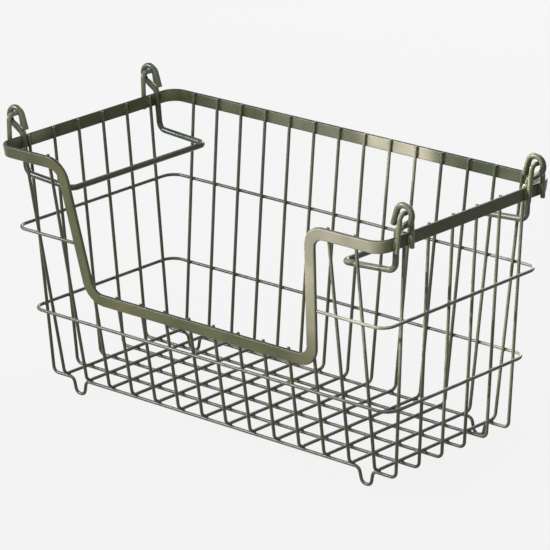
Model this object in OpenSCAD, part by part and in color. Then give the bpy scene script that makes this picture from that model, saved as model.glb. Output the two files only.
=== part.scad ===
// Stacking wire basket with a scooped front and two swing-over stacking bails.
// X runs along the basket, the scoop is on the -Y side and the feet stand on Z = 0.

/* [Mesh wires] */
// Diameter of the mesh and ring wires
wire_d = 2.6; // [2.4:0.1:3]
// Pitch of the cross wires at the floor
cross_pitch = 25; // [24:0.1:25.6]
// Pitch of the cross wires at the rim, where they fan out
cross_pitch_rim = 26.1; // [25:0.1:26.6]
// Pitch of the long wires at the rim
long_pitch_rim = 27; // [26:0.1:27.6]
// Centre-line radius where a wire turns up from the floor
floor_bend_r = 5; // [4:0.25:6]
// How far the wire tips stand above the bar that they are welded to
tip_over = 0.2; // [0:0.1:1]

/* [Basket] */
// Length of the floor between the lines where the end walls start
floor_l = 358; // [350:1:366]
// Width of the floor between the lines where the front and back walls start
floor_w = 139; // [134:1:144]
// Height of the rim's top edge above the ground
basket_h = 207.5; // [197.5:1:217.5]
// Height of the upper ring wire
upper_ring_z = 138; // [120:0.5:150]
// Height of the lower ring wire
lower_ring_z = 69.5; // [52:0.5:80]
// Centre-line radius of the ring wires' corners
ring_corner_r = 11; // [8:0.5:14]

/* [Feet] */
// Height of the feet below the floor wires
foot_h = 12; // [10.5:0.5:13.5]
// Width of a foot between the centre lines of its shoulders
foot_top_w = 14; // [13:0.5:15]
// Width of a foot between the centre lines of its lower corners
foot_low_w = 8.6; // [8:0.2:9.4]
// Centre-line radius of a foot's bends
foot_bend_r = 4.5; // [3.5:0.25:4.75]

/* [Rim] */
// Height of the flat bar
rim_h = 10; // [8:0.5:12]
// Thickness of the flat bar
rim_t = 3; // [2.5:0.25:4]
// Length of the rim between the centre lines of its end bars
rim_l = 391; // [385:1:399]
// Width of the rim between the centre lines of its front and back bars
rim_w = 194; // [188:1:200]
// Centre-line radius of the rim's corners
rim_corner_r = 11.5; // [9:0.5:14]

/* [Scoop] */
// Height of the scoop's low bar, at its centre line
scoop_z = 94.5; // [88:0.5:102]
// Width of the scoop between the side bars, at the low bar
scoop_low_w = 230; // [226:1:236]
// Width of the scoop between the side bars, at the rim
scoop_top_w = 256; // [250:1:262]
// Centre-line radius of the scoop's four bends
scoop_bend_r = 14.5; // [12:0.5:17]
// How far the two corner wires reach up behind the side bars
corner_tip = 18; // [12:1:24]

/* [Staples] */
// Wire diameter of the staples that the bails hang in
staple_d = 3.8; // [3.2:0.1:4.2]
// Distance of a staple outward from the outermost long wire, at the rim
staple_off = 7; // [6:0.5:9]
// Height of a staple's top bar above the middle of the rim
pivot_h = 22.8; // [21.5:0.1:25]
// Width of a staple between centre lines, at its feet
staple_low_w = 17; // [16:0.5:18]
// Width of a staple between centre lines, at its top corners
staple_top_w = 12.4; // [11.8:0.2:13.4]
// Centre-line radius of a staple's top corners
staple_bend_r = 4; // [3.5:0.1:4.2]
// How far the staple's feet reach below the rim
staple_tail = 1.5; // [0.5:0.1:2.5]

/* [Bails] */
// Wire diameter of the bails
bail_d = 4.8; // [4.2:0.1:5]
// Centre-line radius of the closed eye
eye_r = 7; // [6.8:0.1:7.6]
// Slant of the wire where it passes under the staple's top bar
eye_slant = 36; // [33:1:38]
// Side to which the eye's centre hangs off the pivot
eye_hang = 40; // [30:1:50]
// How far the eye's straight end opens inward, from in line with the leg
eye_open = 14; // [11:1:16]
// Length of the eye's straight end, down to where it is cut beside the knee
eye_tail = 12; // [10.5:0.1:12.5]
// Centre-line radius of the knee, where the leg bends out to the eye
knee_r = 5; // [4:0.25:6]
// Length of the leg, from the pivot down to the arm
leg_l = 46.6; // [42:0.2:52]
// Length of the arm, from the leg to the cross bar
arm_l = 50; // [46:0.5:50.5]
// How much the arm droops from square to the leg
arm_droop = 8; // [0:0.5:10]
// Centre-line radius of the elbow between leg and arm
elbow_r = 7; // [5:0.5:9]
// Centre-line radius of the corner between arm and cross bar
bar_corner_r = 6; // [5:0.5:9]

/* [Clearances] */
// Gap left at a welded contact
weld_gap = 0.03; // [0.02:0.01:0.1]
// Gap between a bail and what it hangs in or rests on
swing_gap = 0.3; // [0.3:0.05:0.4]
// How far a straight run laps into the bend beside it
bend_lap = 0.2; // [0.1:0.05:0.25]
// How much the stock swells at a bend, as a factor
bend_swell = 1.012; // [1.01:0.001:1.015]

/* [Hidden] */
$fn = 48;
paint = "#666a53";
tiny = 0.001;
cross_count = 14;
long_count = 6;
wire_r = wire_d / 2;
bail_r = bail_d / 2;

// Heights of the two floor layers and of the rim bar's centre line
long_z = foot_h + wire_r * bend_swell;
cross_z = long_z + wire_d + weld_gap;
rim_z = basket_h - rim_h / 2;

// A wall is the plane of its wires' centre lines. The bar lies bar_off outside it.
bar_off = rim_t / 2 + weld_gap + wire_r;
ring_off = wire_d + weld_gap;
side_run = [rim_w / 2 - floor_w / 2, rim_z - cross_z];
end_run = [rim_l / 2 - floor_l / 2, rim_z - long_z];
side_lean = lean(side_run, bar_off);
end_lean = lean(end_run, bar_off);
corner_lean = (side_lean + end_lean) / 2;

// Distances up a wall, from the floor line
side_rim_s = along(side_run, side_lean);
end_rim_s = along(end_run, end_lean);
scoop_s = up_wall(scoop_z - cross_z, bar_off, side_lean);
side_tip_z = (side_rim_s + rim_h / 2 + tip_over) * cos(side_lean);
end_tip_z = (end_rim_s + rim_h / 2 + tip_over) * cos(end_lean);
scoop_tip_z = (scoop_s + rim_h / 2 + tip_over) * cos(side_lean);
corner_tip_z = (scoop_s + corner_tip) * cos(side_lean);

// The outermost long wires lie where the cross wires start to turn up.
floor_setback = floor_bend_r * tan((90 - side_lean) / 2);
long_pitch = (floor_w - 2 * floor_setback) / (long_count - 1);

// The feet stand midway between the two outermost cross wires of each end.
foot_x = cross_pitch * (cross_count / 2 - 1);

// Slope of the scoop's side bars, and the edge where the upper ring ends
scoop_slope = (scoop_top_w - scoop_low_w) / 2 / (side_rim_s - scoop_s);
scoop_lean = atan(scoop_slope);
scoop_setback = scoop_bend_r * tan((90 - scoop_lean) / 2);
ring_end_s = up_wall(upper_ring_z - cross_z, ring_off, side_lean);
ring_end_x = scoop_low_w / 2 + scoop_slope * (ring_end_s - scoop_s)
    + rim_h / 2 / cos(scoop_lean) + wire_r * scoop_slope + weld_gap;

// Distance between the two staples of one end
staple_span = (long_count - 1) * long_pitch_rim + 2 * staple_off;

// Bail and pivot, in the plane across an end bar: [outward, up the wall]
pivot = [rim_t / 2 + weld_gap + staple_d / 2, pivot_h];
leg_n = -(rim_t / 2 + swing_gap + bail_r);
eye_play = eye_r - bail_r * bend_swell - staple_d / 2 - swing_gap;
eye_centre = pivot - eye_play * [sin(eye_hang), cos(eye_hang)];
eye_start = eye_centre + eye_r * [sin(eye_slant), -cos(eye_slant)];
knee = [leg_n, eye_start.y - (eye_start.x - leg_n) * tan(eye_slant)];
elbow = [leg_n, pivot_h - leg_l];
eye_turn = 270 - eye_slant - eye_open;
tail_dir = [-sin(eye_open), -cos(eye_open)];
tail_start = eye_centre + eye_r * [-cos(eye_open), sin(eye_open)];
elbow_setback = elbow_r * tan((90 - arm_droop) / 2);

ENDS = ["left", "right"];
SIDES = ["front", "back"];

// Angle of a wall that starts at the floor line and passes off inside the point at run
function lean(run, off) = acos(off / norm(run)) - atan2(run.y, run.x);
// Distance up the wall to the foot of the perpendicular from that point
function along(run, angle) = run.x * sin(angle) + run.y * cos(angle);
// Distance up the wall at which what lies off outside it is at height z
function up_wall(z, off, angle) = (z + off * sin(angle)) / cos(angle);
// Places of the wires at the floor, and how far each leg leans sideways to fan out
function middle(k, count) = k - (count + 1) / 2;
function cross_x(i) = middle(i, cross_count) * cross_pitch;
function cross_fan(i) = atan(middle(i, cross_count) * (cross_pitch_rim - cross_pitch) / side_run.y);
function long_y(j) = middle(j, long_count) * long_pitch;
function long_fan(j) = atan(middle(j, long_count) * (long_pitch_rim - long_pitch) / end_run.y);

// A planar path is a list of points with a bend radius at each one that isn't a free end.
function at(p, k) = p[(k + len(p)) % len(p)];
function run_l(p, k) = norm(at(p, k + 1) - p[k]);
function run_dir(p, k) = (at(p, k + 1) - at(p, k)) / norm(at(p, k + 1) - at(p, k));
function run_angle(p, k) = atan2(run_dir(p, k).y, run_dir(p, k).x);
function turn_at(p, k) = let (t = run_angle(p, k) - run_angle(p, k - 1))
    t > 180 ? t - 360 : t < -180 ? t + 360 : t;
function bend_r(r, k) = is_list(r) ? r[k] : r;
function is_bend(p, k, closed) = closed || (k > 0 && k < len(p) - 1);
function setback(p, r, k, closed) =
    is_bend(p, k, closed) ? bend_r(r, k % len(p)) * tan(abs(turn_at(p, k % len(p))) / 2) : 0;
function lap_at(p, k, closed) = is_bend(p, k, closed) ? bend_lap : 0;

// Bent stock: carries a section along a path in the XY plane, straight runs and round bends
module bent(p, r, closed = false) {
    for (k = [0 : len(p) - (closed ? 1 : 2)]) {
        first = setback(p, r, k, closed);
        length = run_l(p, k) - first - setback(p, r, k + 1, closed);
        before = lap_at(p, k, closed);
        if (length > tiny)
            translate(p[k] + run_dir(p, k) * (first - before))
                rotate([90, 0, 90 + run_angle(p, k)])
                    linear_extrude(before + length + lap_at(p, k + 1, closed))
                        children();
    }
    for (k = [closed ? 0 : 1 : len(p) - (closed ? 1 : 2)]) {
        turn = turn_at(p, k);
        heading = run_angle(p, k - 1);
        start = p[k] - run_dir(p, k - 1) * setback(p, r, k, closed);
        translate(start + bend_r(r, k) * sign(turn) * [-sin(heading), cos(heading)])
            rotate(turn > 0 ? heading - 90 : heading + 90 + turn)
                bend(bend_r(r, k), abs(turn))
                    children();
    }
}
// One round bend about the origin, from the X axis on
module bend(radius, turn) {
    rotate_extrude(angle = turn)
        translate([radius, 0])
            scale(bend_swell)
                children();
}

// Frames on the object: each takes its children from the XY plane to where they lie
module cross_frame(i) {
    translate([cross_x(i), 0, cross_z])
        rotate([0, cross_fan(i), 0])
            rotate([90, 0, 90])
                children();
}
module long_frame(j) {
    translate([0, long_y(j), long_z])
        rotate([90 - long_fan(j), 0, 0])
            children();
}
// The front bar's plane: X along the basket, Y up the wall
module front_bar_frame() {
    translate([0, -floor_w / 2, cross_z])
        rotate([90 + side_lean, 0, 0])
            translate([0, 0, bar_off])
                children();
}
// Across the right end bar: X outward, Y up the wall
module across_end(y) {
    translate([rim_l / 2, y, rim_z])
        rotate([90, end_lean, 0])
            children();
}
// Along the right end bar: X to the back, Y up the wall, Z outward
module along_end(y) {
    translate([rim_l / 2, y, rim_z])
        rotate([90 + end_lean, 0, 90])
            children();
}
module on_end(end) {
    mirror([end == "left" ? 1 : 0, 0, 0])
        children();
}

// Height above the floor wire at which a cross wire's front leg ends
function front_tip_z(i) =
    let (x = abs(cross_x(i)), low = scoop_low_w / 2 - scoop_setback, top = scoop_top_w / 2)
    x < low ? scoop_tip_z : x < top ? corner_tip_z : side_tip_z;

// A leg's end point in the plane of its fanned U
function leg_tip(half, z, slope, fan) = [half + tan(slope) * z, z / cos(fan)];

// U of mesh wire that makes the front wall, the floor and the back wall
module cross_wire(i) {
    front = leg_tip(floor_w / 2, front_tip_z(i), side_lean, cross_fan(i));
    back = leg_tip(floor_w / 2, side_tip_z, side_lean, cross_fan(i));
    path = [[-front.x, front.y], [-floor_w / 2, 0], [floor_w / 2, 0], back];
    color(paint)
        cross_frame(i)
            bent(path, floor_bend_r)
                circle(d = wire_d);
}

// One foot of the outermost long wires, as path points from left to right
function foot_points(x) = [
    [x - foot_top_w / 2, 0],
    [x - foot_low_w / 2, -foot_h],
    [x + foot_low_w / 2, -foot_h],
    [x + foot_top_w / 2, 0]
];

// U of mesh wire that makes the end walls and the lower floor layer, with two feet on the outermost
module long_wire(j) {
    tip = leg_tip(floor_l / 2, end_tip_z, end_lean, long_fan(j));
    footed = j == 1 || j == long_count;
    feet = footed ? concat(foot_points(-foot_x), foot_points(foot_x)) : [];
    path = concat([[-tip.x, tip.y], [-floor_l / 2, 0]], feet, [[floor_l / 2, 0], tip]);
    radii = concat([0, floor_bend_r], [for (p = feet) foot_bend_r], [floor_bend_r, 0]);
    color(paint)
        long_frame(j)
            bent(path, radii)
                circle(d = wire_d);
}

// Half length and half width of a ring that lies against the outside of the walls
function ring_half(z) = [
    floor_l / 2 + tan(end_lean) * (z - long_z) + ring_off / cos(end_lean),
    floor_w / 2 + tan(side_lean) * (z - cross_z) + ring_off / cos(side_lean)
];

// Closed ring wire below the scoop
module lower_ring() {
    h = ring_half(lower_ring_z);
    path = [h, [-h.x, h.y], -h, [h.x, -h.y]];
    color(paint)
        translate([0, 0, lower_ring_z])
            bent(path, ring_corner_r, closed = true)
                circle(d = wire_d);
}

// Ring wire that ends at the scoop's side bars
module upper_ring() {
    h = ring_half(upper_ring_z);
    path = [[ring_end_x, -h.y], [h.x, -h.y], h, [-h.x, h.y], -h, [-ring_end_x, -h.y]];
    color(paint)
        translate([0, 0, upper_ring_z])
            bent(path, ring_corner_r)
                circle(d = wire_d);
}

// Flat bar on edge round the top, which dips into the scoop at the front
module rim() {
    corner = [rim_l / 2 - rim_corner_r, rim_w / 2 - rim_corner_r];
    half = corner + [bend_lap, bend_lap];
    right_path = [[half.x, side_rim_s], [scoop_top_w / 2, side_rim_s], [scoop_low_w / 2, scoop_s]];
    left_path = [for (k = [2 : -1 : 0]) [-right_path[k].x, right_path[k].y]];
    color(paint) {
        front_bar_frame()
            bent(concat(right_path, left_path), scoop_bend_r)
                square([rim_h, rim_t], center = true);
        translate([0, rim_w / 2, rim_z])
            rotate([-side_lean, 0, 0])
                cube([2 * half.x, rim_t, rim_h], center = true);
        for (side = [-1, 1])
            translate([side * rim_l / 2, 0, rim_z])
                rotate([0, side * end_lean, 0])
                    cube([rim_t, 2 * half.y, rim_h], center = true);
        for (mx = [0, 1], my = [0, 1])
            mirror([mx, 0, 0])
                mirror([0, my, 0])
                    translate([corner.x, corner.y, rim_z])
                        bend(rim_corner_r, 90)
                            rotate(-corner_lean)
                                square([rim_t, rim_h], center = true);
    }
}

// Inverted U on the outside of an end bar: the bail's eye hangs on its top bar
module staple(side, end) {
    low_s = -rim_h / 2 - staple_tail;
    path = [
        [-staple_low_w / 2, low_s],
        [-staple_top_w / 2, pivot_h],
        [staple_top_w / 2, pivot_h],
        [staple_low_w / 2, low_s]
    ];
    y = side == "front" ? -staple_span / 2 : staple_span / 2;
    color(paint)
        on_end(end)
            along_end(y)
                translate([0, 0, pivot.x])
                    bent(path, staple_bend_r)
                        circle(d = staple_d);
}

// Elbow, leg, knee and the closed eye that hangs in a staple
module bail_hook(y) {
    arm_end = elbow - elbow_setback * [cos(arm_droop), sin(arm_droop)];
    slant_end = eye_start + bend_lap * [cos(eye_slant), sin(eye_slant)];
    across_end(y) {
        bent([arm_end, elbow, knee, slant_end], [0, elbow_r, knee_r, 0])
            circle(d = bail_d);
        translate(eye_centre)
            rotate(eye_slant - 90)
                bend(eye_r, eye_turn)
                    circle(d = bail_d);
        bent([tail_start - bend_lap * tail_dir, tail_start + eye_tail * tail_dir], 0)
            circle(d = bail_d);
    }
}

// Stacking bail: swings in to carry the next basket and over to the outside to let it nest
module bail(end) {
    half_w = staple_span / 2;
    arm_start = bend_lap - elbow_setback;
    path = [[arm_start, -half_w], [-arm_l, -half_w], [-arm_l, half_w], [arm_start, half_w]];
    color(paint)
        on_end(end) {
            for (y = [-half_w, half_w])
                bail_hook(y);
            across_end(0)
                translate(elbow)
                    rotate(arm_droop)
                        rotate([-90, 0, 0])
                            bent(path, bar_corner_r)
                                circle(d = bail_d);
        }
}

for (i = [1 : cross_count])
    cross_wire(i);
for (j = [1 : long_count])
    long_wire(j);
lower_ring();
upper_ring();
rim();
for (e = ENDS, s = SIDES)
    staple(s, e);
for (e = ENDS)
    bail(e);
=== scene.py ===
import math

import bpy
from mathutils import Matrix, Vector


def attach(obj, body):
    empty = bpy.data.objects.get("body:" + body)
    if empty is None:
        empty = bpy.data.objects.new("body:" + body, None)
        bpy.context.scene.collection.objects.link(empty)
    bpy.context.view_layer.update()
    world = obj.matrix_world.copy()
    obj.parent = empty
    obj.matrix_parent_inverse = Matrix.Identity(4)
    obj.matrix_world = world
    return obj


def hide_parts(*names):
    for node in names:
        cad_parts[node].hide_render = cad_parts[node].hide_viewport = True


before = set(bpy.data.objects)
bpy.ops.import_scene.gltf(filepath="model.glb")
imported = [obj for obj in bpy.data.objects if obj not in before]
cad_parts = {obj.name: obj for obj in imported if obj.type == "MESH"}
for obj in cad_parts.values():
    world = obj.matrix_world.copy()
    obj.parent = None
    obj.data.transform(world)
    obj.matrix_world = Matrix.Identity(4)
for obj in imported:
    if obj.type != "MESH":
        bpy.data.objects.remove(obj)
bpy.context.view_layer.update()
bpy.ops.object.select_all(action="DESELECT")


# Cross wires: 2.6 mm drawn steel wire, cut to length and bent cold into a U that makes the front wall, the
# floor and the back wall. The legs fan out towards the rim, and the front ones are short under the scoop.
# They are spot-welded to the other wires and to the rim, and painted with the whole basket.
mm = 0.001
wire_r = 1.3 * mm
weld_gap = 0.03 * mm
foot_h = 12 * mm
long_z = foot_h + wire_r
cross_z = long_z + 2 * wire_r + weld_gap
rim_w = 194 * mm
rim_h = 10 * mm
rim_t = 3 * mm
rim_z = 202.5 * mm
bar_off = rim_t / 2 + weld_gap + wire_r
floor_w = 139 * mm
floor_bend_r = 5 * mm
cross_pitch = 25 * mm
cross_pitch_rim = 26.1 * mm
cross_count = 14
scoop_z = 94.5 * mm
scoop_low_w = 230 * mm
scoop_top_w = 256 * mm
scoop_corner_w = 13 * mm
corner_reach = 18 * mm
cut_round = 0.7 * mm
cut_steps = 3
wire_sides = 24
bend_steps = 8
crease = math.radians(40)
merge_gap = 0.001 * mm
painted = bpy.data.collections.new("painted_pieces")


def wall_lean(run, rise):
    """Angle of a wall whose wires pass inside the bar's middle line by half the bar and half a wire."""
    return math.acos(bar_off / math.hypot(run, rise)) - math.atan2(rise, run)


def start_wire(name, place, heading, radius):
    """A filled circle at the wire's first end, facing along it, left in edit mode to be drawn out."""
    bpy.ops.object.select_all(action="DESELECT")
    facing = heading.to_track_quat("Z", "Y").to_euler()
    bpy.ops.mesh.primitive_circle_add(
        vertices=wire_sides, radius=radius, fill_type="NGON", location=place, rotation=facing
    )
    piece = bpy.context.object
    piece.name = name
    piece.data.name = name
    bpy.ops.object.transform_apply()
    bpy.ops.object.mode_set(mode="EDIT")
    bpy.ops.mesh.select_mode(type="FACE")
    bpy.ops.mesh.select_all(action="SELECT")
    return piece


def feed(travel):
    """Draws the end face out in a straight run."""
    bpy.ops.mesh.extrude_region_move(TRANSFORM_OT_translate={"value": travel})


def bend(centre, axis, angle, steps):
    """Draws the end face round a bend. Spin turns the other way about its axis, hence the minus."""
    bpy.ops.mesh.spin(steps=steps, angle=-angle, center=centre, axis=axis)


def draw_through(points, radii, rolls=None):
    """Draws the end face from the first point to the last, with a bend at each point between."""
    place = points[0]
    heading = (points[1] - points[0]).normalized()
    for number, (corner, after, radius) in enumerate(zip(points[1:], points[2:], radii)):
        onward = (after - corner).normalized()
        turn = heading.angle(onward)
        axis = heading.cross(onward).normalized()
        setback = radius * math.tan(turn / 2)
        start = corner - heading * setback
        feed(start - place)
        bend(start + axis.cross(heading) * radius, axis, turn, bend_steps)
        place = corner + onward * setback
        heading = onward
        if rolls and rolls[number]:
            roll_angle, roll_axis = rolls[number]
            bpy.ops.transform.rotate(value=roll_angle, orient_axis=roll_axis, center_override=place)
    feed(points[-1] - place)


def end_wire():
    """Rounds the two cut ends, as paint does, and leaves the wire smooth and facing outwards."""
    bpy.ops.mesh.select_all(action="DESELECT")
    bpy.ops.mesh.select_face_by_sides(number=wire_sides, type="EQUAL")
    bpy.ops.mesh.bevel(offset=cut_round, segments=cut_steps, affect="EDGES")
    bpy.ops.mesh.select_all(action="SELECT")
    bpy.ops.mesh.remove_doubles(threshold=merge_gap)
    bpy.ops.mesh.normals_make_consistent(inside=False)
    bpy.ops.object.mode_set(mode="OBJECT")
    bpy.ops.object.shade_smooth_by_angle(angle=crease)


def linear(hex_colour):
    """An sRGB hex colour as linear red, green, blue and alpha."""
    parts = [int(hex_colour[k:k + 2], 16) / 255 for k in (1, 3, 5)]
    return tuple(c / 12.92 if c <= 0.04045 else ((c + 0.055) / 1.055) ** 2.4 for c in parts) + (1.0,)


def add_node(tree, kind, settings=None, links=None):
    """Adds a shader node: settings are properties or unlinked inputs, links are inputs from other nodes."""
    node = tree.nodes.new(kind)
    for key, value in (settings or {}).items():
        if isinstance(key, str) and hasattr(node, key):
            setattr(node, key, value)
        else:
            node.inputs[key].default_value = value
    for key, source in (links or {}).items():
        tree.links.new(source, node.inputs[key])
    return node


def per_metre(size_mm):
    """Scale of a noise pattern whose features are about that many millimetres across."""
    return 1 / (size_mm * mm)


enamel_ior = 1.54
drift_mm = 30
peel_mm = 2.5
peel_depth = 0.1 * mm
pale_dust = "#a9aa98"


def olive_enamel(name, dark, light, rough, shine, top_dust_and_shade_share, top_dust_and_shade=pale_dust, top_dust_and_shade_from=0.4, top_dust_and_shade_full=1.0):
    """Olive stoving enamel: satin, a few per cent uneven in tone, with an orange peel, and with a colour
    mixed onto the upward faces: pale dust where that colour is pale, painted shade where it is dark.
    """
    material = bpy.data.materials.new(name)
    material.use_nodes = True
    tree = material.node_tree
    shader = tree.nodes["Principled BSDF"]
    place = add_node(tree, "ShaderNodeTexCoord").outputs["Object"]
    drift = add_node(
        tree, "ShaderNodeTexNoise", {"Scale": per_metre(drift_mm), "Detail": 4.0}, {"Vector": place}
    )
    tone = add_node(
        tree, "ShaderNodeMapRange", {"From Min": 0.3, "From Max": 0.7}, {"Value": drift.outputs["Fac"]}
    )
    paint = add_node(
        tree, "ShaderNodeMix", {"data_type": "RGBA", 6: linear(dark), 7: linear(light)},
        {0: tone.outputs["Result"]},
    )
    facing = add_node(tree, "ShaderNodeNewGeometry").outputs["Normal"]
    up = add_node(tree, "ShaderNodeSeparateXYZ", links={0: facing}).outputs["Z"]
    # Upward faces take the top colour: pale dust on most pieces, and dark painted shade along the flat
    # bar's top edge.
    dust_and_shade_amount = add_node(
        tree, "ShaderNodeMapRange",
        {"From Min": top_dust_and_shade_from, "From Max": top_dust_and_shade_full, "To Max": top_dust_and_shade_share}, {"Value": up},
    )
    dust_and_shade_mixed = add_node(
        tree, "ShaderNodeMix", {"data_type": "RGBA", 7: linear(top_dust_and_shade)},
        {0: dust_and_shade_amount.outputs["Result"], 6: paint.outputs[2]},
    )
    peel = add_node(
        tree, "ShaderNodeTexNoise", {"Scale": per_metre(peel_mm), "Detail": 2.0}, {"Vector": place}
    )
    sheen = add_node(
        tree, "ShaderNodeMapRange", {"To Min": rough - 0.06, "To Max": rough + 0.08},
        {"Value": drift.outputs["Fac"]},
    )
    bump = add_node(
        tree, "ShaderNodeBump", {"Strength": 0.05, "Distance": peel_depth}, {"Height": peel.outputs["Fac"]}
    )
    shader.inputs["IOR"].default_value = enamel_ior
    shader.inputs["Specular IOR Level"].default_value = shine
    tree.links.new(dust_and_shade_mixed.outputs[2], shader.inputs["Base Color"])
    tree.links.new(sheen.outputs["Result"], shader.inputs["Roughness"])
    tree.links.new(bump.outputs["Normal"], shader.inputs["Normal"])
    return material


def dress(piece, material, body, *nodes):
    """Paints a piece, sets it on its body, lists it as painted and lets it stand for its nodes."""
    piece.data.materials.clear()
    piece.data.materials.append(material)
    painted.objects.link(piece)
    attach(piece, body)
    if nodes:
        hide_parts(*nodes)


side_lean = wall_lean(rim_w / 2 - floor_w / 2, rim_z - cross_z)
side_up = Vector((0, math.sin(side_lean), math.cos(side_lean)))
side_rim_s = side_up.dot(Vector((0, rim_w / 2 - floor_w / 2, rim_z - cross_z)))
scoop_s = (scoop_z - cross_z + bar_off * math.sin(side_lean)) / math.cos(side_lean)
full_leg = (side_rim_s + rim_h / 2) * math.cos(side_lean)
scoop_leg = (scoop_s + rim_h / 2) * math.cos(side_lean)
corner_leg = (scoop_s + corner_reach) * math.cos(side_lean)

# Enamel on wire: a darker copy of the bar's olive, painted shade for the thin round wires, with a fine line
# of light along each run.
wire_enamel = olive_enamel(
    "olive_enamel_on_wire", dark="#4c4933", light="#595e43", rough=0.24, shine=0.32, top_dust_and_shade_share=0.1
)


def cross_place(number):
    """Place of a cross wire along the floor, counted from the left, and its sideways slope."""
    middle = number - (cross_count + 1) / 2
    return middle * cross_pitch, middle * (cross_pitch_rim - cross_pitch) / (rim_z - cross_z)


for number in range(1, cross_count + 1):
    x, fan = cross_place(number)
    if abs(x) < scoop_low_w / 2 - scoop_corner_w:
        front_leg = scoop_leg
    elif abs(x) < scoop_top_w / 2:
        front_leg = corner_leg
    else:
        front_leg = full_leg
    path = [
        Vector((x + fan * front_leg, -floor_w / 2 - math.tan(side_lean) * front_leg, cross_z + front_leg)),
        Vector((x, -floor_w / 2, cross_z)),
        Vector((x, floor_w / 2, cross_z)),
        Vector((x + fan * full_leg, floor_w / 2 + math.tan(side_lean) * full_leg, cross_z + full_leg)),
    ]
    wire = start_wire(f"cross_wire_{number}_painted", path[0], path[1] - path[0], wire_r)
    draw_through(path, [floor_bend_r, floor_bend_r])
    end_wire()
    dress(wire, wire_enamel, "basket", f"cross_wire_{number}")


# Long wires: the same steel wire bent into a U along the basket, under the cross wires, for the end walls.
# The outermost two dip into two rounded feet each, which are bent in the same wire.
rim_l = 391 * mm
floor_l = 358 * mm
long_count = 6
long_pitch_rim = 27 * mm
foot_top_w = 14 * mm
foot_low_w = 8.6 * mm
foot_bend_r = 4.5 * mm
foot_x = cross_pitch * (cross_count / 2 - 1)
long_pitch = (floor_w - 2 * floor_bend_r * math.tan((math.pi / 2 - side_lean) / 2)) / (long_count - 1)
end_lean = wall_lean(rim_l / 2 - floor_l / 2, rim_z - long_z)
end_up = Vector((math.sin(end_lean), 0, math.cos(end_lean)))
end_rim_s = end_up.dot(Vector((rim_l / 2 - floor_l / 2, 0, rim_z - long_z)))
end_leg = (end_rim_s + rim_h / 2) * math.cos(end_lean)
end_reach = floor_l / 2 + math.tan(end_lean) * end_leg


def long_place(number):
    """Place of a long wire across the floor, counted from the front, and its sideways slope."""
    middle = number - (long_count + 1) / 2
    return middle * long_pitch, middle * (long_pitch_rim - long_pitch) / (rim_z - long_z)


for number in range(1, long_count + 1):
    y, fan = long_place(number)
    profile = [(-end_reach, end_leg), (-floor_l / 2, 0)]
    radii = [floor_bend_r]
    if number in (1, long_count):
        for x in (-foot_x, foot_x):
            profile += [(x - foot_top_w / 2, 0), (x - foot_low_w / 2, -foot_h)]
            profile += [(x + foot_low_w / 2, -foot_h), (x + foot_top_w / 2, 0)]
            radii += [foot_bend_r] * 4
    profile += [(floor_l / 2, 0), (end_reach, end_leg)]
    radii += [floor_bend_r]
    path = [Vector((x, y + fan * rise, long_z + rise)) for x, rise in profile]
    wire = start_wire(f"long_wire_{number}_painted", path[0], path[1] - path[0], wire_r)
    draw_through(path, radii)
    end_wire()
    dress(wire, wire_enamel, "basket", f"long_wire_{number}")


# Floor welds: each crossing of the floor is a resistance weld, where the wires have sunk into each other a
# little and a lip of steel stands round the contact. The enamel covers it.
scene = bpy.context.scene
bead_rings = [(0.5, -0.87), (0.87, -0.5), (1, 0), (0.87, 0.5), (0.5, 0.87)]
bead_sides = 12
crossing_bead = (1.7 * mm, 1.7 * mm, 0.75 * mm)
along_x = Vector((1, 0, 0))
along_y = Vector((0, 1, 0))

# Enamel over a weld: a little paler and duller than on the wire, because it pools round the lip.
weld_enamel = olive_enamel(
    "olive_enamel_over_weld", dark="#575b42", light="#686a4e", rough=0.28, shine=0.3, top_dust_and_shade_share=0.1
)


def weld_beads(name, half, spots, enamel):
    """Models one bead with those half sizes and copies it to spots: a place, a way across, a way along."""
    bpy.ops.object.select_all(action="DESELECT")
    first_wide, first_level = bead_rings[0]
    bpy.ops.mesh.primitive_circle_add(
        vertices=bead_sides, radius=first_wide, fill_type="NGON", location=(0, 0, first_level)
    )
    bead = bpy.context.object
    bpy.ops.object.mode_set(mode="EDIT")
    bpy.ops.mesh.select_mode(type="FACE")
    bpy.ops.mesh.select_all(action="SELECT")
    for (wide, level), (next_wide, next_level) in zip(bead_rings, bead_rings[1:]):
        feed(Vector((0, 0, next_level - level)))
        bpy.ops.transform.resize(value=(next_wide / wide, next_wide / wide, 1))
    bpy.ops.mesh.select_all(action="SELECT")
    bpy.ops.mesh.normals_make_consistent(inside=False)
    bpy.ops.object.mode_set(mode="OBJECT")
    bpy.ops.object.shade_smooth()
    bpy.ops.object.transform_apply()
    bead.scale = half
    bpy.ops.object.transform_apply()
    copies = []
    for place, across, along in spots:
        copy = bead.copy()
        copy.data = bead.data.copy()
        scene.collection.objects.link(copy)
        copy.matrix_world = Matrix((across, along, across.cross(along))).transposed().to_4x4()
        copy.location = place
        copies.append(copy)
    bpy.data.objects.remove(bead)
    bpy.ops.object.select_all(action="DESELECT")
    for copy in copies:
        copy.select_set(True)
    bpy.context.view_layer.objects.active = copies[0]
    bpy.ops.object.join()
    bpy.ops.object.transform_apply()
    welds = bpy.context.object
    welds.name = name
    welds.data.name = name
    dress(welds, enamel, "basket")


floor_spots = []
for cross in range(1, cross_count + 1):
    for lengthwise in range(1, long_count + 1):
        place = Vector((cross_place(cross)[0], long_place(lengthwise)[0], (long_z + cross_z) / 2))
        floor_spots.append((place, along_x, along_y))
weld_beads("floor_welds", crossing_bead, floor_spots, weld_enamel)


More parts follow.
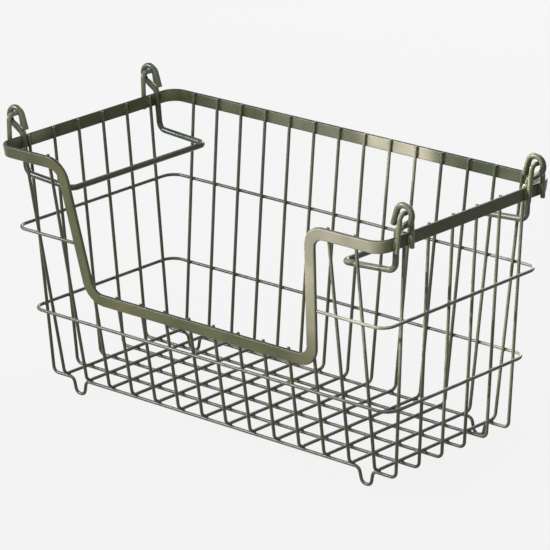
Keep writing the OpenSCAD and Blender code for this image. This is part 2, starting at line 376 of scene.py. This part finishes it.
# Ring wires: two hoops of the same steel wire, one closed ring below the scoop and one that ends at the
# scoop's side bars. They lie round the outside of the mesh and are spot-welded to every leg.
ring_corner_r = 11 * mm
lower_ring_z = 69.5 * mm
upper_ring_z = 138 * mm
ring_off = 2 * wire_r + weld_gap
seam_gap = 0.005 * mm


def ring_half(z):
    """Half length and half width of the ring's middle line at a height."""
    return (
        floor_l / 2 + math.tan(end_lean) * (z - long_z) + ring_off / math.cos(end_lean),
        floor_w / 2 + math.tan(side_lean) * (z - cross_z) + ring_off / math.cos(side_lean),
    )


def close_loop():
    """Joins the last end face of a closed loop to its first and leaves no wall inside."""
    bpy.ops.mesh.select_all(action="DESELECT")
    bpy.ops.mesh.select_face_by_sides(number=4, type="GREATER")
    bpy.ops.mesh.delete(type="ONLY_FACE")
    bpy.ops.mesh.select_all(action="SELECT")
    bpy.ops.mesh.remove_doubles(threshold=seam_gap)
    bpy.ops.mesh.normals_make_consistent(inside=False)
    bpy.ops.object.mode_set(mode="OBJECT")
    bpy.ops.object.shade_smooth_by_angle(angle=crease)


half_l, half_w = ring_half(lower_ring_z)
path = [
    Vector((0, half_w, lower_ring_z)),
    Vector((-half_l, half_w, lower_ring_z)),
    Vector((-half_l, -half_w, lower_ring_z)),
    Vector((half_l, -half_w, lower_ring_z)),
    Vector((half_l, half_w, lower_ring_z)),
    Vector((0, half_w, lower_ring_z)),
]
ring = start_wire("lower_ring_painted", path[0], path[1] - path[0], wire_r)
draw_through(path, [ring_corner_r] * 4)
close_loop()
dress(ring, wire_enamel, "basket", "lower_ring")

half_l, half_w = ring_half(upper_ring_z)
scoop_slope = (scoop_top_w - scoop_low_w) / 2 / (side_rim_s - scoop_s)
ring_end_s = (upper_ring_z - cross_z + ring_off * math.sin(side_lean)) / math.cos(side_lean)
ring_end_x = (
    scoop_low_w / 2
    + scoop_slope * (ring_end_s - scoop_s)
    + rim_h / 2 / math.cos(math.atan(scoop_slope))
    + wire_r * scoop_slope
    + weld_gap
)
path = [
    Vector((ring_end_x, -half_w, upper_ring_z)),
    Vector((half_l, -half_w, upper_ring_z)),
    Vector((half_l, half_w, upper_ring_z)),
    Vector((-half_l, half_w, upper_ring_z)),
    Vector((-half_l, -half_w, upper_ring_z)),
    Vector((-ring_end_x, -half_w, upper_ring_z)),
]
ring = start_wire("upper_ring_painted", path[0], path[1] - path[0], wire_r)
draw_through(path, [ring_corner_r] * 4)
end_wire()
dress(ring, wire_enamel, "basket", "upper_ring")


# Ring welds: the same resistance welds, where a ring lies across the outside of each leg. The upper ring
# meets only the outer legs at the front, because the scoop takes the place of the others.
side_out = Vector((0, math.cos(side_lean), -math.sin(side_lean)))
end_out = Vector((math.cos(end_lean), 0, -math.sin(end_lean)))
as_is = Vector((1, 1, 1))
mirror_x = Vector((-1, 1, 1))
mirror_y = Vector((1, -1, 1))
all_numbers = range(1, cross_count + 1)
outer_numbers = [1, 2, cross_count - 1, cross_count]


def wall_ways(normal):
    """The level way and the upward way in a wall that faces along normal."""
    level = Vector((-normal.y, normal.x, 0)).normalized()
    return level, normal.cross(level)


def ring_spots(z, front_numbers):
    """Where a ring at height z meets the legs: all at the back and both ends, some at the front."""
    half_l, half_w = ring_half(z)
    spots = []
    for number in all_numbers:
        x, fan = cross_place(number)
        for flip in (as_is, mirror_y):
            if flip == mirror_y and number not in front_numbers:
                continue
            normal = side_out * flip
            place = Vector((x + fan * (z - cross_z), half_w, z)) * flip - normal * ring_off / 2
            spots.append((place, *wall_ways(normal)))
    for number in range(1, long_count + 1):
        y, fan = long_place(number)
        for flip in (as_is, mirror_x):
            normal = end_out * flip
            place = Vector((half_l, y + fan * (z - long_z), z)) * flip - normal * ring_off / 2
            spots.append((place, *wall_ways(normal)))
    return spots


weld_beads("lower_ring_welds", crossing_bead, ring_spots(lower_ring_z, all_numbers), weld_enamel)
weld_beads("upper_ring_welds", crossing_bead, ring_spots(upper_ring_z, outer_numbers), weld_enamel)


# Rim: 10 x 3 mm steel flat bar on edge, rolled with round edges. It is bent down into the scoop at the
# front and round the four corners, and welded to itself at the back. It leans with the walls.
rim_corner_r = 11.5 * mm
scoop_bend_r = 14.5 * mm
edge_round = 1.3 * mm
edge_steps = 6


def front_point(x, s):
    """A point of the front bar's middle line, s up the wall and outside its wires."""
    up = Vector((0, -math.sin(side_lean), math.cos(side_lean)))
    out = Vector((0, -math.cos(side_lean), -math.sin(side_lean)))
    return Vector((x, -floor_w / 2, cross_z)) + up * s + out * bar_off


path = [
    Vector((0, rim_w / 2, rim_z)),
    Vector((rim_l / 2, rim_w / 2, rim_z)),
    Vector((rim_l / 2, -rim_w / 2, rim_z)),
    front_point(scoop_top_w / 2, side_rim_s),
    front_point(scoop_low_w / 2, scoop_s),
    front_point(-scoop_low_w / 2, scoop_s),
    front_point(-scoop_top_w / 2, side_rim_s),
    Vector((-rim_l / 2, -rim_w / 2, rim_z)),
    Vector((-rim_l / 2, rim_w / 2, rim_z)),
    Vector((0, rim_w / 2, rim_z)),
]
bpy.ops.object.select_all(action="DESELECT")
bpy.ops.mesh.primitive_plane_add(size=1, location=path[0], rotation=(0, math.pi / 2, 0))
rim = bpy.context.object
rim.name = "rim_painted"
rim.data.name = "rim_painted"
rim.scale = (rim_h, rim_t, 1)
bpy.ops.object.transform_apply()
bpy.ops.object.mode_set(mode="EDIT")
bpy.ops.mesh.select_mode(type="VERT")
bpy.ops.mesh.select_all(action="SELECT")
bpy.ops.mesh.bevel(offset=edge_round, segments=edge_steps, affect="VERTICES")
bpy.ops.mesh.select_mode(type="FACE")
bpy.ops.mesh.select_all(action="SELECT")
bpy.ops.transform.rotate(value=side_lean, orient_axis="X", center_override=path[0])
ease = side_lean - end_lean
rolls = [(ease, "Y"), (-ease, "X"), None, None, None, None, (-ease, "Y"), (ease, "X")]
draw_through(path, [rim_corner_r] * 2 + [scoop_bend_r] * 4 + [rim_corner_r] * 2, rolls)
close_loop()
bpy.ops.object.modifier_add(type="WEIGHTED_NORMAL")
bpy.ops.object.modifier_apply(modifier=rim.modifiers[0].name)

# Enamel on flat bar: the palest olive of the basket, satin on the faces, with painted shade along the top
# edge: a dark colour mixed onto the upward faces, which shows the bar's thickness.
rim_enamel = olive_enamel(
    "olive_enamel_on_flat_bar", dark="#5b6044", light="#737354", rough=0.28, shine=0.12,
    top_dust_and_shade_share=0.85, top_dust_and_shade="#22251a", top_dust_and_shade_from=0.42, top_dust_and_shade_full=0.7,
)
dress(rim, rim_enamel, "basket", "rim")


# Rim welds: a low seam of steel down the contact of each leg with the bar's inner face. The bar's own
# enamel runs over it, so it shows only as a soft thickening beside the wire.
seam_bead = (2.3 * mm, 4.3 * mm, 0.9 * mm)
corner_numbers = [3, cross_count - 2]
seam_off = wire_r + weld_gap / 2
rim_spots = []
for number in all_numbers:
    x, fan = cross_place(number)
    front_s = side_rim_s if number in outer_numbers else scoop_s
    if number in corner_numbers:
        front_s += corner_reach / 2
    for flip, s in ((as_is, side_rim_s), (mirror_y, front_s)):
        normal = side_out * flip
        rise = s * math.cos(side_lean)
        on_wire = Vector((x + fan * rise, floor_w / 2 + math.tan(side_lean) * rise, cross_z + rise)) * flip
        rim_spots.append((on_wire + normal * seam_off, *wall_ways(normal)))
for number in range(1, long_count + 1):
    y, fan = long_place(number)
    for flip in (as_is, mirror_x):
        normal = end_out * flip
        rise = end_rim_s * math.cos(end_lean)
        on_wire = Vector((floor_l / 2 + math.tan(end_lean) * rise, y + fan * rise, long_z + rise)) * flip
        rim_spots.append((on_wire + normal * seam_off, *wall_ways(normal)))
weld_beads("rim_welds", seam_bead, rim_spots, rim_enamel)


# Staples: 3.8 mm steel wire bent into a tapered, upside-down U and welded to the outside of the end bars.
# The bail's eye turns on the staple's top bar.
staple_r = 1.9 * mm
staple_off = 7 * mm
staple_y = (long_count - 1) / 2 * long_pitch_rim + staple_off
pivot_s = 22.8 * mm
pivot_n = rim_t / 2 + weld_gap + staple_r
staple_low_w = 17 * mm
staple_top_w = 12.4 * mm
staple_bend_r = 4 * mm
staple_tail = 1.5 * mm
staple_low_s = -rim_h / 2 - staple_tail
ends = {"left": -1, "right": 1}
sides = {"front": -1, "back": 1}

# Enamel on staple: a darker copy of the bar's olive, between the wire's and the bar's, which is painted
# shade on the hooks, and a little glossier than the wire.
staple_enamel = olive_enamel(
    "olive_enamel_on_staple", dark="#4e5238", light="#5c5f41", rough=0.24, shine=0.38, top_dust_and_shade_share=0.1
)


def end_point(side, outward, up, y):
    """A point at an end bar, from its middle line: outward and up across the leaning bar."""
    return Vector((
        side * (rim_l / 2 + outward * math.cos(end_lean) + up * math.sin(end_lean)),
        y,
        rim_z - outward * math.sin(end_lean) + up * math.cos(end_lean),
    ))


for end, side in ends.items():
    for face, way in sides.items():
        outline = [
            (-staple_low_w / 2, staple_low_s), (-staple_top_w / 2, pivot_s),
            (staple_top_w / 2, pivot_s), (staple_low_w / 2, staple_low_s),
        ]
        path = [end_point(side, pivot_n, up, way * staple_y + y) for y, up in outline]
        staple = start_wire(f"staple_{face}_{end}_painted", path[0], path[1] - path[0], staple_r)
        draw_through(path, [staple_bend_r] * 2)
        end_wire()
        dress(staple, staple_enamel, "basket", f"staple_{face}_{end}")


# Staple welds: a seam of steel down both legs of each staple, on the bar's outer face. It follows the legs'
# taper and is painted over with the rest.
staple_bead = (2.5 * mm, 4.7 * mm, 1.2 * mm)
staple_slope = (staple_top_w - staple_low_w) / 2 / (pivot_s + rim_h / 2 + staple_tail)
staple_mid_w = staple_low_w / 2 + staple_slope * (rim_h / 2 + staple_tail)
staple_spots = []
for side in ends.values():
    for way in sides.values():
        for leg in (-1, 1):
            y = way * staple_y + leg * staple_mid_w
            along = (end_point(side, 0, 1, leg * staple_slope) - end_point(side, 0, 0, 0)).normalized()
            across = along.cross(end_out * Vector((side, 1, 1)))
            staple_spots.append((end_point(side, rim_t / 2 + weld_gap / 2, 0, y), across, along))
weld_beads("staple_welds", staple_bead, staple_spots, weld_enamel)


# Bails: 4.8 mm steel wire, bent in one length: an eye that hangs in a staple, a knee, a leg inside the rim,
# an arm, the cross bar that carries the next basket, and the same back to the other staple.
bail_r = 2.4 * mm
swing_gap = 0.3 * mm
eye_r = 7 * mm
eye_slant = math.radians(36)
eye_hang = math.radians(40)
eye_open = math.radians(14)
eye_tail = 12 * mm
eye_turn = math.radians(270) - eye_slant - eye_open
eye_steps = 24
knee_r = 5 * mm
leg_l = 46.6 * mm
arm_l = 50 * mm
arm_droop = math.radians(8)
elbow_r = 7 * mm
bar_corner_r = 6 * mm
leg_n = -(rim_t / 2 + swing_gap + bail_r)
eye_play = eye_r - bail_r - staple_r - swing_gap
eye_n = pivot_n - eye_play * math.sin(eye_hang)
eye_s = pivot_s - eye_play * math.cos(eye_hang)
start_n = eye_n + eye_r * math.sin(eye_slant)
start_s = eye_s - eye_r * math.cos(eye_slant)
knee_s = start_s - (start_n - leg_n) * math.tan(eye_slant)
elbow_s = pivot_s - leg_l
tail_n = eye_n - eye_r * math.cos(eye_open)
tail_s = eye_s + eye_r * math.sin(eye_open)
cut_n = tail_n - eye_tail * math.sin(eye_open)
cut_s = tail_s - eye_tail * math.cos(eye_open)
bar_n = leg_n - arm_l * math.cos(arm_droop)
bar_s = elbow_s - arm_l * math.sin(arm_droop)

# Enamel on bail: the darkest and glossiest copy of the bar's olive, whose darkness is painted shade, rubbed
# clean of dust by hands and by the staples.
bail_enamel = olive_enamel(
    "olive_enamel_on_bail", dark="#3d412a", light="#4b4f35", rough=0.2, shine=0.32, top_dust_and_shade_share=0.0
)

for end, side in ends.items():
    across = Vector((0, -side, 0))
    half = [(start_n, start_s), (leg_n, knee_s), (leg_n, elbow_s), (bar_n, bar_s)]
    front_half = [end_point(side, n, s, -staple_y) for n, s in half]
    back_half = [end_point(side, n, s, staple_y) for n, s in half]
    path = front_half + back_half[::-1]
    first = end_point(side, cut_n, cut_s, -staple_y)
    above = end_point(side, tail_n, tail_s, -staple_y)
    bail = start_wire(f"{end}_bail_painted", first, above - first, bail_r)
    feed(above - first)
    bend(end_point(side, eye_n, eye_s, -staple_y), -across, eye_turn, eye_steps)
    draw_through(path, [knee_r, elbow_r, bar_corner_r, bar_corner_r, elbow_r, knee_r])
    bend(end_point(side, eye_n, eye_s, staple_y), across, eye_turn, eye_steps)
    feed(first - above)
    end_wire()
    dress(bail, bail_enamel, f"{end}_bail", f"{end}_bail")


# Ground: a wide sheet of pale paper that takes the shadow. To the camera and in reflections most of its
# tone is its own, so that it stays even and pale; to the basket it is a plain grey floor.
ground_size = 12
ground_drop = 0.2 * mm
ground_glow_share = 0.9


def seen_directly(tree):
    """1 to the camera, to a reflection and through a clear piece; 0 for the light on the basket."""
    rays = add_node(tree, "ShaderNodeLightPath").outputs
    shown = add_node(
        tree, "ShaderNodeMath", {"operation": "MAXIMUM"},
        {0: rays["Is Camera Ray"], 1: rays["Is Glossy Ray"]},
    )
    return add_node(
        tree, "ShaderNodeMath", {"operation": "MAXIMUM"},
        {0: shown.outputs[0], 1: rays["Is Transmission Ray"]},
    ).outputs[0]


bpy.ops.object.select_all(action="DESELECT")
bpy.ops.mesh.primitive_plane_add(size=ground_size, location=(0, 0, -ground_drop))
ground = bpy.context.object
ground.name = "ground"
pale = bpy.data.materials.new("pale_paper_ground")
pale.use_nodes = True
tree = pale.node_tree
tree.nodes.clear()
shown = seen_directly(tree)
tone = add_node(
    tree, "ShaderNodeMix", {"data_type": "RGBA", 6: linear("#85837d"), 7: linear("#eeeeee")}, {0: shown}
)
matt = add_node(tree, "ShaderNodeBsdfDiffuse", links={"Color": tone.outputs[2]})
glow = add_node(tree, "ShaderNodeEmission", {"Color": linear("#f8f8f7"), "Strength": 1.0})
share = add_node(tree, "ShaderNodeMath", {"operation": "MULTIPLY", 1: ground_glow_share}, {0: shown})
mixed = add_node(
    tree, "ShaderNodeMixShader", links={0: share.outputs[0], 1: matt.outputs[0], 2: glow.outputs[0]}
)
add_node(tree, "ShaderNodeOutputMaterial", links={"Surface": mixed.outputs[0]})
ground.data.materials.append(pale)


# Light: a dim even surround, broad cool panels at the front left, front right, back and overhead, and one
# that shows in reflections only. Narrow flecks of sun and sky fall on the painted pieces alone, so that the
# ground stays even.
scene.view_settings.view_transform = "Standard"
world = bpy.data.worlds.new("dim_surround")
scene.world = world
world.use_nodes = True
tree = world.node_tree
tree.nodes.clear()
soft = add_node(tree, "ShaderNodeBackground", {"Color": linear("#f4f8f2"), "Strength": 0.11})
backdrop = add_node(tree, "ShaderNodeBackground", {"Color": linear("#f2f2f2"), "Strength": 1.0})
mixed = add_node(
    tree, "ShaderNodeMixShader", links={0: seen_directly(tree), 1: soft.outputs[0], 2: backdrop.outputs[0]}
)
add_node(tree, "ShaderNodeOutputWorld", links={"Surface": mixed.outputs[0]})


def hang_lamp(data, place, aim, watts, colour):
    """Puts a lamp at a place, turned to a point."""
    data.energy = watts
    data.color = linear(colour)[:3]
    lamp = bpy.data.objects.new(data.name, data)
    scene.collection.objects.link(lamp)
    lamp.location = place
    lamp.rotation_euler = (Vector(aim) - Vector(place)).to_track_quat("-Z", "Y").to_euler()
    return lamp


basket_middle = (0, 0, 0.1)


def hang_panel(name, size, place, watts, colour):
    """A square soft panel that faces the middle of the basket."""
    data = bpy.data.lights.new(name, "AREA")
    data.size = size
    return hang_lamp(data, place, basket_middle, watts, colour)


hang_panel("front_panel", 1.9, (-2.0, -1.4, 1.1), 44, "#eaf4fb")
hang_panel("fill_panel", 1.6, (0.8, -2.3, 1.0), 22.5, "#eaf4fb")
hang_panel("back_panel", 1.2, (-0.9, 2.3, 1.0), 34, "#e8f2fb")
hang_panel("top_panel", 1.4, (0.25, 0.2, 2.6), 14, "#e4eef8")
sheen_panel = hang_panel("sheen_panel", 1.1, (-1.7, -1.83, 1.25), 80, "#dce8fb")
sheen_panel.visible_diffuse = False

sun_way = Vector((-2.15, -1.1, 1.3))
front_way = Vector((-1.0, -2.2, 1.5))
sky_way = Vector((1.2, -1.6, 1.3))
corner_way = Vector((0.7, -2.3, 1.2))
fleck_blend = 0.6
fleck_sharpness = 10


def fleck(name, aim, width, watts, colour, way):
    """A fleck of light: a narrow spot lamp on the painted pieces, with no mirror image of its own."""
    data = bpy.data.lights.new(name, "SPOT")
    data.spot_size = 2 * math.atan(width / 2 / way.length)
    data.spot_blend = fleck_blend
    data.shadow_soft_size = width / fleck_sharpness
    lamp = hang_lamp(data, Vector(aim) + way, aim, watts, colour)
    lamp.visible_glossy = False
    lamp.light_linking.receiver_collection = painted


fleck("sun_on_right_front", (0.152, -0.09, 0.206), 0.212, 1330, "#dfd0ff", front_way)
fleck("sun_on_scoop", (-0.01, -0.088, 0.115), 0.32, 145, "#ffe0dc", front_way)
fleck("sun_on_corner", (0.188, -0.092, 0.204), 0.036, 160, "#f4f2f8", corner_way)
fleck("sun_on_right_ring", (0.172, -0.09, 0.138), 0.044, 850, "#ece0ff", front_way)
fleck("sun_on_back_rim", (0.046, 0.096, 0.203), 0.075, 1500, "#e2d4ff", front_way)
fleck("sun_beside_back_rim", (0.005, 0.096, 0.203), 0.2, 330, "#e2d4ff", front_way)
fleck("sun_on_right_end", (0.19, 0.02, 0.115), 0.17, 750, "#f0e8fc", sun_way)
fleck("sun_on_right_back_hook", (0.2, 0.072, 0.224), 0.07, 2600, "#efe6fc", sun_way)
fleck("sky_on_left_front_hook", (-0.2, -0.0745, 0.227), 0.05, 340, "#dcdcff", sky_way)
fleck("sky_on_left_back_hook", (-0.2, 0.0745, 0.227), 0.05, 240, "#dcdcff", sky_way)


# Camera: the photograph's view, from the front right and a little above, with a long lens. Its direction,
# distance and focal length come from the wire crossings, for a picture of 550 x 550 pixels.
azimuth = math.radians(42.987)
elevation = math.radians(19.034)
roll = math.radians(-1.493)
distance = 2905.2 * mm
target = Vector((2.45, 0, 115.475)) * mm
focal_px = 3789.5
picture_px = 550
lens = bpy.data.cameras.new("camera")
camera = bpy.data.objects.new("camera", lens)
scene.collection.objects.link(camera)
back = Vector((
    math.sin(azimuth) * math.cos(elevation), -math.cos(azimuth) * math.cos(elevation), math.sin(elevation)
))
flat_right = Vector((math.cos(azimuth), math.sin(azimuth), 0))
flat_up = back.cross(flat_right)
right = flat_right * math.cos(roll) + flat_up * math.sin(roll)
camera.matrix_world = Matrix((right, back.cross(right), back)).transposed().to_4x4()
camera.location = target + back * distance
lens.sensor_width = 36
lens.lens = focal_px / picture_px * lens.sensor_width
lens.clip_end = 50
scene.camera = camera
